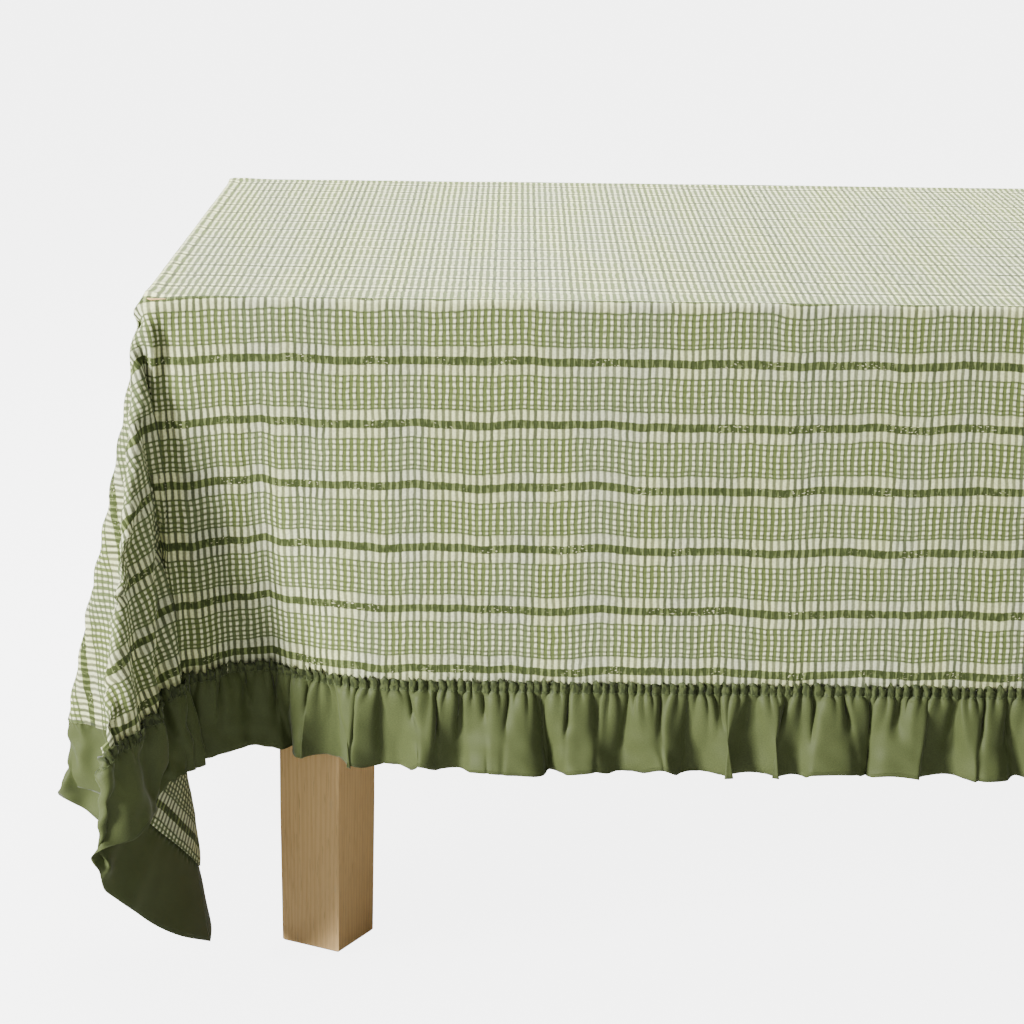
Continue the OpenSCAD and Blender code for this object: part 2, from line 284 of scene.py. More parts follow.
pick_none()
bpy.ops.mesh.primitive_cube_add(size=1, location=(0, 0, (table_top + table_low.z) / 2))
block = bpy.context.object
block.scale = (2 * half_length, 2 * half_width, table_top - table_low.z)
bpy.ops.object.transform_apply(scale=True)
soften = block.modifiers.new("soften", "BEVEL")
soften.width = 0.003
soften.segments = 2
bpy.ops.object.modifier_apply(modifier="soften")
block.modifiers.new("Collision", "COLLISION")
block.collision.thickness_outer = 0.001
block.collision.cloth_friction = 20

cloth = drape.modifiers.new("Cloth", "CLOTH")
fabric = cloth.settings
fabric.quality = 6
fabric.mass = 0.15
fabric.air_damping = 4.0
fabric.tension_stiffness = 40
fabric.compression_stiffness = 40
fabric.shear_stiffness = 6
fabric.bending_stiffness = 0.8
fabric.tension_damping = 10
fabric.compression_damping = 10
fabric.shear_damping = 5
fabric.bending_damping = 1.0
fabric.vertex_group_mass = "held"
for frame_number, grip in ((1, 50.0), (hand_frames + 1, 50.0), (hand_frames + 3, 0.15)):
    fabric.pin_stiffness = grip
    fabric.keyframe_insert("pin_stiffness", frame=frame_number)
cloth.collision_settings.distance_min = 0.002
cloth.collision_settings.collision_quality = 2
cloth.collision_settings.use_self_collision = False
cloth.collision_settings.self_distance_min = 0.004
settle_frames = 60
cloth.point_cache.frame_end = settle_frames
for step in range(1, settle_frames + 1):
    bpy.context.scene.frame_set(step)
settled = bpy.data.meshes.new_from_object(drape.evaluated_get(bpy.context.evaluated_depsgraph_get()))
drape_places = read_grid(settled, len(u_lines), len(v_lines))
bpy.data.meshes.remove(settled)
bpy.data.objects.remove(drape)
bpy.data.objects.remove(block)
bpy.context.scene.frame_set(1)


# ---------- Checked panel ----------
# One wide piece of soft cotton. Fine grey-green warp lines run across it, and its weft makes dark bands,
# plain pale stripes and fields of small cream checks between them. The cut edge is sewn to the ruffle.
cloth_thickness = 0.0007


def on_cloth(u, v):
    """Places of points of the flat sheet on the settled drape, on a smooth surface through its grid."""
    steps = []
    for value, lines in ((u, u_lines), (v, v_lines)):
        place = np.interp(value, lines, np.arange(len(lines)))
        first = np.clip(np.floor(place).astype(int), 0, len(lines) - 2)
        t = place - first
        shares = (
            ((-0.5 * t + 1) * t - 0.5) * t, (1.5 * t - 2.5) * t * t + 1,
            ((-1.5 * t + 2) * t + 0.5) * t, (0.5 * t - 0.5) * t * t,
        )
        steps.append([(np.clip(first + k - 1, 0, len(lines) - 1), shares[k]) for k in range(4)])
    return sum((a * b)[..., None] * drape_places[i, j] for i, a in steps[0] for j, b in steps[1])


def waves(a, b, seed, count, shortest, longest):
    """A smooth seeded ripple of about unit height over the flat sheet."""
    draw = np.random.default_rng(seed)
    total = np.zeros(np.broadcast(a, b).shape)
    for _ in range(count):
        size = draw.uniform(shortest, longest)
        turn = draw.uniform(0, np.pi)
        phase = draw.uniform(0, 2 * np.pi)
        total += np.sin((a * np.cos(turn) + b * np.sin(turn)) * 2 * np.pi / size + phase)
    return total / math.sqrt(count)


def crumpled(u, v, reach=0.004):
    """Place and outward normal at points of the flat sheet, with the cloth's small ripples."""
    along_u = on_cloth(u + reach, v) - on_cloth(u - reach, v)
    along_v = on_cloth(u, v + reach) - on_cloth(u, v - reach)
    normal = np.cross(along_u, along_v)
    normal /= np.maximum(np.linalg.norm(normal, axis=-1, keepdims=True), 1e-9)
    past_edge = np.maximum(np.abs(u) - half_length, np.abs(v) - half_width)
    hanging = np.clip((past_edge - 0.01) / 0.12, 0, 1)
    hanging_ripple = 0.0009 * waves(u, v, 11, 7, 0.09, 0.18) + 0.00022 * waves(u, v, 12, 8, 0.022, 0.045)
    lying_ripple = 0.00025 * np.abs(waves(u, v, 13, 7, 0.02, 0.06))
    rise = hanging_ripple * hanging + lying_ripple * (1 - hanging) + cloth_thickness
    return on_cloth(u, v) + normal * rise[..., None], normal


def set_uv(mesh, name, columns, rows, places):
    """A UV map of this name on a grid mesh, with the places as [column, row, 2]."""
    while mesh.uv_layers:
        mesh.uv_layers.remove(mesh.uv_layers[0])
    layer = mesh.uv_layers.new(name=name)
    corner = np.zeros(len(mesh.loops), dtype=np.int32)
    mesh.loops.foreach_get("vertex_index", corner)
    by_point = np.swapaxes(places, 0, 1).reshape(-1, 2)
    layer.data.foreach_set("uv", by_point[corner].reshape(-1).astype(np.float32))


def thicken(piece, thickness):
    """Gives a sheet its two faces and its edge, and shades it smooth."""
    pick_none()
    piece.select_set(True)
    bpy.context.view_layer.objects.active = piece
    bpy.ops.object.shade_smooth()
    wall = piece.modifiers.new("wall", "SOLIDIFY")
    wall.thickness = thickness
    wall.offset = -1
    bpy.ops.object.modifier_apply(modifier="wall")


panel_u = mirrored(spaced(
    (0, half_length - 0.03, 42), (half_length - 0.03, half_length + 0.03, 10),
    (half_length + 0.03, panel_half[0], 52),
))
panel_v = mirrored(spaced(
    (0, half_width - 0.03, 21), (half_width - 0.03, half_width + 0.03, 10),
    (half_width + 0.03, panel_half[1], 43),
))
pu, pv = np.meshgrid(panel_u, panel_v, indexing="ij")
panel = grid_mesh("cloth_panel_weave", len(panel_u), len(panel_v), crumpled(pu, pv)[0])
set_uv(panel.data, "weave", len(panel_u), len(panel_v), np.stack([pu, pv], axis=-1))
thicken(panel, cloth_thickness)


def node(tree, kind, inputs=(), **settings):
    """A shader node with its settings, and its inputs set to values or joined to sockets."""
    made = tree.nodes.new(kind)
    for key, value in settings.items():
        setattr(made, key, value)
    for key, value in dict(inputs).items():
        if isinstance(value, bpy.types.NodeSocket):
            tree.links.new(value, made.inputs[key])
        else:
            made.inputs[key].default_value = value
    return made


def sums(tree, kind, a, b=0.0):
    return node(tree, "ShaderNodeMath", {0: a, 1: b}, operation=kind).outputs[0]


def fade(tree, value, low, high, start=0.0, end=1.0):
    """Value eased from start at low to end at high."""
    inputs = {"Value": value, "From Min": low, "From Max": high, "To Min": start, "To Max": end}
    return node(tree, "ShaderNodeMapRange", inputs, interpolation_type="SMOOTHSTEP").outputs["Result"]


def blended(tree, share, first, second, kind="MIX"):
    """Mix of two colours."""
    mix = node(tree, "ShaderNodeMix", {0: share, 6: first, 7: second}, data_type="RGBA", blend_type=kind)
    return mix.outputs[2]


def tint(red, green, blue):
    """Colour from 0-255 values, made linear."""
    parts = [x / 255 for x in (red, green, blue)]
    return [x / 12.92 if x <= 0.04045 else ((x + 0.055) / 1.055) ** 2.4 for x in parts] + [1.0]


def shader_group(name, inputs, outputs):
    """An empty node group with these sockets, and its input and output nodes."""
    group = bpy.data.node_groups.new(name, "ShaderNodeTree")
    for socket, kind, start in inputs:
        made = group.interface.new_socket(name=socket, in_out="INPUT", socket_type=kind)
        if start is not None:
            made.default_value = start
    for socket, kind in outputs:
        group.interface.new_socket(name=socket, in_out="OUTPUT", socket_type=kind)
    return group, group.nodes.new("NodeGroupInput"), group.nodes.new("NodeGroupOutput")


def plain_weave():
    """Fine over-and-under thread grain: a shade close to one, and a height."""
    group, given, result = shader_group(
        "plain_weave",
        [("Flat", "NodeSocketVector", None), ("Threads per metre", "NodeSocketFloat", 900.0)],
        [("Shade", "NodeSocketFloat"), ("Height", "NodeSocketFloat")],
    )
    slub = node(group, "ShaderNodeTexNoise", {
        "Vector": given.outputs["Flat"], "Scale": given.outputs["Threads per metre"], "Detail": 2.0,
    })
    parts = node(group, "ShaderNodeSeparateXYZ", {0: given.outputs["Flat"]})
    rows = []
    for axis in (0, 1):
        turns = sums(group, "MULTIPLY", parts.outputs[axis], given.outputs["Threads per metre"])
        rows.append(sums(group, "SINE", sums(group, "MULTIPLY", turns, math.pi)))
    cross = sums(group, "MULTIPLY", rows[0], rows[1])
    height = sums(group, "ADD", sums(group, "MULTIPLY", cross, 0.35), slub.outputs["Fac"])
    group.links.new(height, result.inputs["Height"])
    group.links.new(fade(group, slub.outputs["Fac"], 0.3, 0.7, 0.86, 1.1), result.inputs["Shade"])
    return group


thread_grain = plain_weave()
warp_pitch = 0.0073
weft_repeat = 0.0661
profile_length = 64.5
first_band = half_width - 0.0045
check_start = 15.25
check_lines = (0, 5.8, 12.0, 18.1, 24.2, 29.6, 33.9)
band_half = 4.25


def weft_profile():
    """Stops along one repeat, out of profile_length: how far each is a thin line, a dark band and a check."""
    stops = [(0, 0, 1, 0), (band_half - 0.5, 0, 1, 0), (band_half + 0.5, 0, 0, 0)]
    for k, line in enumerate(check_lines):
        place = check_start + line
        strength = 1.0 if k in (0, len(check_lines) - 1) else 0.8
        before = 0.0 if k == 0 else 1.0
        after = 0.0 if k == len(check_lines) - 1 else 1.0
        stops += [(place - 1.9, 0, 0, before), (place, strength, 0, 1.0), (place + 1.9, 0, 0, after)]
    repeat = profile_length
    return stops + [(repeat - band_half - 0.5, 0, 0, 0), (repeat - band_half + 0.5, 0, 1, 0), (repeat, 0, 1, 0)]


def woven_check():
    """The woven pattern from places on the flat sheet in metres: its colour, and its height."""
    group, given, result = shader_group(
        "woven_check",
        [("Flat", "NodeSocketVector", None)],
        [("Color", "NodeSocketColor"), ("Height", "NodeSocketFloat")],
    )
    flat = given.outputs["Flat"]

    def cloudy(scale, detail=2.0, stretch=(1, 1, 1)):
        place = node(group, "ShaderNodeMapping", {"Vector": flat, "Scale": stretch}).outputs[0]
        return node(group, "ShaderNodeTexNoise", {"Vector": place, "Scale": scale, "Detail": detail}).outputs["Fac"]

    def drift(value, reach):
        return sums(group, "MULTIPLY", sums(group, "SUBTRACT", value, 0.5), reach)

    parts = node(group, "ShaderNodeSeparateXYZ", {0: flat})
    u = sums(group, "ADD", parts.outputs[0], drift(cloudy(45), 0.0028))
    v = sums(group, "ADD", parts.outputs[1], drift(cloudy(60, 2.0, (1, 0.6, 1)), 0.0036))
    v = sums(group, "ADD", v, drift(cloudy(11, 1.0, (1, 0.35, 1)), 0.013))

    warp_count = sums(group, "DIVIDE", u, warp_pitch)
    across = sums(group, "FRACT", warp_count)
    own_warp = node(group, "ShaderNodeTexWhiteNoise", {"W": sums(group, "FLOOR", warp_count)},
                    noise_dimensions="1D").outputs["Value"]
    from_line = sums(group, "ABSOLUTE", sums(group, "SUBTRACT", across, 0.5))
    warp_line = fade(group, from_line, 0.14, 0.36, 1.0, 0.0)
    warp_line = sums(group, "MULTIPLY", warp_line, fade(group, own_warp, 0.0, 1.0, 0.8, 1.0))
    cell_across = fade(group, from_line, 0.20, 0.38)

    weft_count = sums(group, "DIVIDE", sums(group, "SUBTRACT", -first_band, v), weft_repeat)
    profile = node(group, "ShaderNodeValToRGB", {"Fac": sums(group, "FRACT", weft_count)})
    ramp = profile.color_ramp
    stops = weft_profile()
    for _ in range(len(stops) - 2):
        ramp.elements.new(0.5)
    for element, (place, line, band, check) in zip(ramp.elements, stops):
        element.position = place / profile_length
        element.color = (line, band, check, 1)
    weft = node(group, "ShaderNodeSeparateColor", {0: profile.outputs["Color"]})
    thin_line, dark_band, check_field = weft.outputs[0], weft.outputs[1], weft.outputs[2]

    zones = fade(group, cloudy(22, 1.0, (1, 0.12, 1)), 0.38, 0.62)
    fine = cloudy(420, 2.0)
    pale = blended(group, zones, tint(240, 244, 180), tint(228, 232, 190))
    striped = blended(group, sums(group, "MULTIPLY", warp_line, 0.95), pale, tint(74, 82, 54))

    ground = blended(group, zones, tint(116, 129, 68), tint(121, 132, 89))
    open_cell = sums(group, "MULTIPLY", cell_across, sums(group, "SUBTRACT", 1.0, thin_line))
    open_cell = sums(group, "MULTIPLY", open_cell, fade(group, cloudy(150, 1.0), 0.3, 0.55, 0.55, 1.0))
    checked = blended(group, open_cell, ground, tint(254, 255, 206))
    checked = blended(group, sums(group, "MULTIPLY", thin_line, 0.9), checked, tint(66, 78, 44))
    checked = blended(group, sums(group, "MULTIPLY", warp_line, 0.35), checked, tint(92, 104, 68))
    cloth_colour = blended(group, check_field, striped, checked)

    sliver = sums(group, "MULTIPLY", cell_across, fade(group, cloudy(260, 1.0, (1, 0.3, 1)), 0.34, 0.58))
    band = blended(group, sliver, tint(66, 76, 40), tint(132, 144, 88))
    squiggle = fade(group, cloudy(330, 0.0, (1, 1.7, 1)), 0.66, 0.72)
    squiggle = sums(group, "MULTIPLY", squiggle, fade(group, cloudy(25, 1.0), 0.5, 0.65))
    band = blended(group, sums(group, "MULTIPLY", squiggle, 0.75), band, tint(216, 216, 170))
    cloth_colour = blended(group, dark_band, cloth_colour, band)
    mottle = fade(group, fine, 0.3, 0.7, 0.86, 1.12)
    mottle_colour = node(group, "ShaderNodeCombineColor", {0: mottle, 1: mottle, 2: mottle}).outputs[0]
    group.links.new(blended(group, 1.0, cloth_colour, mottle_colour, "MULTIPLY"), result.inputs["Color"])

    relief = sums(group, "MULTIPLY", open_cell, check_field)
    relief = sums(group, "ADD", relief, sums(group, "MULTIPLY", dark_band, 0.7))
    relief = sums(group, "SUBTRACT", relief, sums(group, "MULTIPLY", warp_line, 0.5))
    relief = sums(group, "ADD", relief, sums(group, "MULTIPLY", fine, 0.6))
    relief = sums(group, "ADD", relief, cloudy(110, 2.0, (1, 0.5, 1)))
    group.links.new(relief, result.inputs["Height"])
    return group


panel_cloth = bpy.data.materials.new("checked_cotton")
panel_cloth.use_nodes = True
tree = panel_cloth.node_tree
shader = tree.nodes["Principled BSDF"]
flat = node(tree, "ShaderNodeUVMap", uv_map="weave").outputs["UV"]
check = node(tree, "ShaderNodeGroup", node_tree=woven_check())
tree.links.new(flat, check.inputs["Flat"])
tree.links.new(check.outputs["Color"], shader.inputs["Base Color"])
bump = node(tree, "ShaderNodeBump", {"Height": check.outputs["Height"], "Strength": 0.8, "Distance": 0.0006})
tree.links.new(bump.outputs["Normal"], shader.inputs["Normal"])
shader.inputs["Roughness"].default_value = 0.9
shader.inputs["Specular IOR Level"].default_value = 0.15
shader.inputs["Sheen Weight"].default_value = 0.08
shader.inputs["Sheen Roughness"].default_value = 0.5
panel.data.materials.append(panel_cloth)

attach(panel, "tablecloth")
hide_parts("cloth_panel")
boards = ["top_board_1", "top_board_2", "top_board_3", "top_board_4", "top_board_5"]


# ---------- Ruffles ----------
# Four strips of plain olive cotton, each gathered on a thread to the length of its side and sewn on
# the panel's right side. The raw top edge stands up in small tufts, and the fullness falls in folds.
ruffle_thickness = 0.0005
header = 0.011
corner_fan = 0.070
hem = 0.003
fullness = 1.25


def uneven_phase(draw, s, shortest, longest):
    """Phase that turns once per fold, for folds of seeded widths along s, and each place's fold number."""
    joints = [s[0] - longest]
    while joints[-1] < s[-1] + longest:
        joints.append(joints[-1] + draw.uniform(shortest, longest))
    turns = np.interp(s, joints, np.arange(len(joints)))
    return turns, len(joints)


def per_fold(draw, turns, count, low, high):
    """A value that changes smoothly from one fold to the next."""
    return np.interp(turns, np.arange(count) + 0.5, draw.uniform(low, high, count))


def sew_ruffle(name, node_name, first, last, seed):
    """One gathered strip from the panel's corner first to its corner last, and its seam's places."""
    draw = np.random.default_rng(seed)
    first, last = np.array(first) * panel_half, np.array(last) * panel_half
    length = np.linalg.norm(last - first)
    along = (last - first) / length
    outward = np.array([along[1], -along[0]])
    columns = int(length / 0.0017)
    s = np.linspace(0, length, columns)
    down = np.concatenate([
        np.linspace(-header, 0, 5)[:-1], np.linspace(0, 0.028, 8)[:-1], np.linspace(0.028, ruffle_width, 13),
    ])
    rows = len(down)
    s2, d2 = np.meshgrid(s, down, indexing="ij")
    t = d2 / ruffle_width
    fan = np.clip(1 - s / corner_fan, 0, 1) - np.clip(1 - (length - s) / corner_fan, 0, 1)
    way = outward[None, :] - along[None, :] * fan[:, None]
    way /= np.linalg.norm(way, axis=1, keepdims=True)

    below = np.clip(t, 0, 1)
    above = np.clip(-d2 / header, 0, 1)
    from_tip = np.minimum(s, length - s)[:, None]
    near_corner = np.clip(from_tip / 0.55, 0, 1) ** 1.1
    gather = np.clip(from_tip / 0.025, 0, 1)
    out = np.zeros_like(s2)
    sway = np.zeros_like(s2)

    folds, fold_count = uneven_phase(draw, s, 0.045, 0.095)
    lean_over = per_fold(draw, folds, fold_count, -0.25, 0.25)
    fold_turn = 2 * np.pi * (folds[:, None] + lean_over[:, None] * below * near_corner)
    height = per_fold(draw, folds, fold_count, 0.6, 1.2)[:, None] * near_corner * below ** 0.7
    fold_out = (np.cos(fold_turn) - 0.3 * np.cos(2 * fold_turn)) * height
    out += 0.0140 * fold_out
    sway += per_fold(draw, folds, fold_count, -0.020, 0.020)[:, None] * np.sin(fold_turn) * below ** 0.9 * near_corner

    drops, drop_count = uneven_phase(draw, s, 0.020, 0.040)
    drop_turn = 2 * np.pi * (drops[:, None] + per_fold(draw, drops, drop_count, -0.4, 0.4)[:, None] * below)
    drop_reach = per_fold(draw, drops, drop_count, 0.35, 0.9)[:, None]
    drop_grow = np.sin(np.pi * np.clip(below / drop_reach, 0, 1) ** 0.6) + 0.25 * below
    drop_strength = per_fold(draw, drops, drop_count, 0.5, 1.3)[:, None]
    out += 0.0054 * near_corner * drop_strength * drop_grow * (np.cos(drop_turn) - 0.3 * np.cos(2 * drop_turn))
    sway += 0.0038 * near_corner * drop_strength * drop_grow * np.sin(drop_turn)

    puckers, pucker_count = uneven_phase(draw, s, 0.0062, 0.0125)
    pucker_turn = 2 * np.pi * puckers[:, None]
    reach = per_fold(draw, puckers, pucker_count, 0.08, 0.40)[:, None]
    strength = per_fold(draw, puckers, pucker_count, 0.5, 1.3)[:, None]
    tuft = np.where(d2 < 0, 1 + 0.5 * above, np.exp(-(below / reach) ** 2))
    out += 0.0019 * gather * tuft * strength * np.cos(pucker_turn)
    sway += 0.0014 * gather * tuft * np.sin(pucker_turn + per_fold(draw, puckers, pucker_count, -1, 1)[:, None])
    out += 0.0008 * draw.normal(size=s2.shape) * (above > 0.2)
    out += 0.0024 + 0.0008 * above + 0.004 * below ** 0.5
    out += 0.0009 * waves(s2, d2, seed + 50, 6, 0.018, 0.045) * below * near_corner
    out = np.maximum(out + 0.0004 * (t > 1 - hem / ruffle_width), 0.0004 - 0.012 * below)

    rise = 0.0030 * above * np.cos(pucker_turn + 0.8) * strength + 0.0012 * above * draw.normal(size=(columns, 1))
    wave = -0.0085 * fold_out + 0.004 * below * np.sin(2 * np.pi * s2 / 0.23 + seed)
    reach_down = d2 - rise + wave
    flat_place = first + along * (s2 + sway)[..., None] + way[:, None, :] * reach_down[..., None]
    limit = sheet_half - 0.001
    u, v = np.clip(flat_place[..., 0], -limit[0], limit[0]), np.clip(flat_place[..., 1], -limit[1], limit[1])
    places, normal = crumpled(u, v, 0.018)
    places = places + normal * (ruffle_thickness + out)[..., None]
    ease = (0.5 * (1 - near_corner) ** 2 * np.clip(below / 0.25, 0, 1))[1:-1, :, None]
    for _ in range(60):
        places[1:-1] += ease * ((places[:-2] + places[2:]) / 2 - places[1:-1])
    # Columns run against the grid's own handedness, so the strip is laid from its last column.
    strip = grid_mesh(name, columns, rows, places[::-1])
    uv = np.stack([s2 * fullness, d2], axis=-1)[::-1]
    set_uv(strip.data, "strip", columns, rows, uv)
    thicken(strip, ruffle_thickness)
    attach(strip, "tablecloth")
    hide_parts(node_name)
    return strip, places[:, 4], normal[:, 4]


ruffle_cloth = bpy.data.materials.new("olive_cotton")
ruffle_cloth.use_nodes = True
tree = ruffle_cloth.node_tree
shader = tree.nodes["Principled BSDF"]
flat = node(tree, "ShaderNodeUVMap", uv_map="strip").outputs["UV"]
grain = node(tree, "ShaderNodeGroup", node_tree=thread_grain)
tree.links.new(flat, grain.inputs["Flat"])
cloud = node(tree, "ShaderNodeTexNoise", {"Vector": flat, "Scale": 30.0, "Detail": 3.0}).outputs["Fac"]
olive = blended(tree, cloud, tint(73, 82, 43), tint(86, 95, 54))
shade = node(tree, "ShaderNodeCombineColor", {k: grain.outputs["Shade"] for k in range(3)}).outputs[0]
olive = blended(tree, 1.0, olive, shade, "MULTIPLY")
down_strip = node(tree, "ShaderNodeSeparateXYZ", {0: flat}).outputs[1]
# Painted shade: the header above the seam is darkened in streaks, standing in for the shade that falls between its
# gathered tufts.
tuft_shade_streak = node(tree, "ShaderNodeMapping", {"Vector": flat, "Scale": (1, 0.3, 1)}).outputs[0]
tuft_shade_streak = node(tree, "ShaderNodeTexNoise", {"Vector": tuft_shade_streak, "Scale": 420.0, "Detail": 1.0}).outputs["Fac"]
painted_tuft_shade = sums(tree, "MULTIPLY", fade(tree, down_strip, -0.001, 0.003, 1.0, 0.0), fade(tree, tuft_shade_streak, 0.42, 0.58))
olive = blended(tree, sums(tree, "MULTIPLY", painted_tuft_shade, 0.8), olive, tint(44, 52, 24))
from_edge = sums(tree, "ABSOLUTE", sums(tree, "SUBTRACT", down_strip, ruffle_width - hem))
hem_line = fade(tree, from_edge, 0.0002, 0.0008, 1.0, 0.0)
olive = blended(tree, sums(tree, "MULTIPLY", hem_line, 0.2), olive, tint(58, 66, 34))
tree.links.new(olive, shader.inputs["Base Color"])
soft = sums(tree, "ADD", sums(tree, "MULTIPLY", grain.outputs["Height"], 0.25), sums(tree, "MULTIPLY", cloud, 0.6))
soft = sums(tree, "SUBTRACT", soft, hem_line)
bump = node(tree, "ShaderNodeBump", {"Height": soft, "Strength": 0.35, "Distance": 0.0006})
tree.links.new(bump.outputs["Normal"], shader.inputs["Normal"])
shader.inputs["Roughness"].default_value = 0.62
shader.inputs["Specular IOR Level"].default_value = 0.25
shader.inputs["Sheen Weight"].default_value = 0.15
shader.inputs["Sheen Roughness"].default_value = 0.4

seams = []
for name, node_name, first, last, seed in (
    ("ruffle_front_gathered", "ruffle_front", (-1, -1), (1, -1), 21),
    ("ruffle_right_gathered", "ruffle_right", (1, -1), (1, 1), 22),
    ("ruffle_back_gathered", "ruffle_back", (1, 1), (-1, 1), 23),
    ("ruffle_left_gathered", "ruffle_left", (-1, 1), (-1, -1), 24),
):
    strip, seam, seam_out = sew_ruffle(name, node_name, first, last, seed)
    strip.data.materials.append(ruffle_cloth)
    seams.append((node_name, seam, seam_out))


# ---------- Gathering stitches ----------
# Short straight stitches of thick cotton thread, sewn through all layers along the gathered line.
stitch_length = 0.0034
stitch_pitch = 0.0052
stitch_radius = 0.00042


def sew_stitches(name, seam, seam_out):
    """One mesh of stitches along a seam, copied from one stitch with rounded ends."""
    pick_none()
    bpy.ops.mesh.primitive_cylinder_add(vertices=6, radius=stitch_radius, depth=stitch_length,
                                        end_fill_type="NGON")
    stitch = bpy.context.object
    bpy.ops.object.mode_set(mode="EDIT")
    bpy.ops.mesh.select_all(action="SELECT")
    bpy.ops.mesh.bevel(offset=stitch_radius * 0.45, segments=1)
    bpy.ops.object.mode_set(mode="OBJECT")
    points = np.array([v.co[:] for v in stitch.data.vertices])
    faces = [list(p.vertices) for p in stitch.data.polygons]
    bpy.data.objects.remove(stitch)

    travelled = np.append(0, np.cumsum(np.linalg.norm(np.diff(seam, axis=0), axis=1)))
    count = int(travelled[-1] / stitch_pitch)
    at = (np.arange(count) + 0.5) * stitch_pitch
    middle = np.stack([np.interp(at, travelled, seam[:, k]) for k in range(3)], axis=1)
    ahead = np.stack([np.interp(at + 0.001, travelled, seam[:, k]) for k in range(3)], axis=1)
    out = np.stack([np.interp(at, travelled, seam_out[:, k]) for k in range(3)], axis=1)
    z_axis = ahead - middle
    z_axis /= np.linalg.norm(z_axis, axis=1, keepdims=True)
    x_axis = np.cross(out, z_axis)
    x_axis /= np.linalg.norm(x_axis, axis=1, keepdims=True)
    y_axis = np.cross(z_axis, x_axis)
    turned = (points[None, :, 0:1] * x_axis[:, None] + points[None, :, 1:2] * y_axis[:, None]
              + points[None, :, 2:3] * z_axis[:, None])
    places = middle[:, None] + turned + out[:, None] * stitch_radius * 0.5
    mesh = bpy.data.meshes.new(name)
    all_faces = [[i + len(points) * k for i in face] for k in range(count) for face in faces]
    mesh.from_pydata(places.reshape(-1, 3).tolist(), [], all_faces)
    piece = bpy.data.objects.new(name, mesh)
    bpy.context.collection.objects.link(piece)
    pick_none()
    piece.select_set(True)
    bpy.context.view_layer.objects.active = piece
    bpy.ops.object.shade_smooth()
    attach(piece, "tablecloth")
    return piece


thread = bpy.data.materials.new("gathering_thread")
thread.use_nodes = True
tree = thread.node_tree
shader = tree.nodes["Principled BSDF"]
where = node(tree, "ShaderNodeTexCoord").outputs["Object"]
twist = node(tree, "ShaderNodeTexNoise", {"Vector": where, "Scale": 1500.0, "Detail": 1.0}).outputs["Fac"]
tree.links.new(blended(tree, twist, tint(64, 76, 38), tint(104, 118, 70)), shader.inputs["Base Color"])
bump = node(tree, "ShaderNodeBump", {"Height": twist, "Strength": 0.5, "Distance": 0.0002})
tree.links.new(bump.outputs["Normal"], shader.inputs["Normal"])
shader.inputs["Roughness"].default_value = 0.7
for node_name, seam, seam_out in seams:
    stitches = sew_stitches(node_name.replace("ruffle", "stitches"), seam, seam_out)
    stitches.data.materials.append(thread)


# ---------- Oak ----------
# Solid oak, planed and finished with matt oil. The legs' grain runs upright, and the top boards' and
# battens' grain runs along them, each piece cut from another part of the tree.
def oak_figure():
    """Growth rings, pores and rays of oak, with the grain along X: colour, roughness and height."""
    group, given, result = shader_group(
        "oak_figure",
        [("Place", "NodeSocketVector", None), ("Light", "NodeSocketColor", None),
         ("Dark", "NodeSocketColor", None)],
        [("Color", "NodeSocketColor"), ("Roughness", "NodeSocketFloat"), ("Height", "NodeSocketFloat")],
    )

    def along_grain(scale, detail, stretch):
        place = node(group, "ShaderNodeMapping", {"Vector": given.outputs["Place"], "Scale": stretch}).outputs[0]
        return node(group, "ShaderNodeTexNoise", {"Vector": place, "Scale": scale, "Detail": detail}).outputs["Fac"]

    wander = along_grain(9, 3.0, (0.12, 1, 1))
    parts = node(group, "ShaderNodeSeparateXYZ", {0: given.outputs["Place"]})
    middle_far = sums(group, "ADD", sums(group, "MULTIPLY", parts.outputs[1], 230.0),
                      sums(group, "MULTIPLY", parts.outputs[2], 70.0))
    ring = sums(group, "FRACT", sums(group, "ADD", middle_far, sums(group, "MULTIPLY", wander, 9.0)))
    late_wood = sums(group, "MULTIPLY", fade(group, ring, 0.15, 0.85), fade(group, ring, 0.86, 1.0, 1.0, 0.0))
    pores = fade(group, along_grain(1100, 1.0, (0.035, 1, 1)), 0.60, 0.70)
    pores = sums(group, "MULTIPLY", pores, fade(group, late_wood, 0.0, 1.0, 0.85, 0.35))
    fibre = along_grain(420, 3.0, (0.02, 1, 1))
    board = along_grain(5, 2.0, (0.3, 1, 1))
    flecks = fade(group, along_grain(160, 1.0, (0.22, 1.4, 0.5)), 0.68, 0.78)

    share = sums(group, "ADD", sums(group, "MULTIPLY", late_wood, 0.26), sums(group, "MULTIPLY", fibre, 0.5))
    share = sums(group, "ADD", share, sums(group, "MULTIPLY", sums(group, "SUBTRACT", board, 0.5), 0.9))
    colour = blended(group, sums(group, "SUBTRACT", share, 0.12), given.outputs["Light"], given.outputs["Dark"])
    colour = blended(group, sums(group, "MULTIPLY", pores, 0.35), colour, tint(104, 72, 40))
    colour = blended(group, sums(group, "MULTIPLY", flecks, 0.25), colour, tint(226, 196, 150))
    group.links.new(colour, result.inputs["Color"])
    rough = sums(group, "ADD", 0.50, sums(group, "MULTIPLY", pores, 0.25))
    group.links.new(sums(group, "ADD", rough, sums(group, "MULTIPLY", fibre, 0.08)), result.inputs["Roughness"])
    height = sums(group, "SUBTRACT", sums(group, "MULTIPLY", fibre, 0.5), pores)
    group.links.new(height, result.inputs["Height"])
    return group


oak = oak_figure()


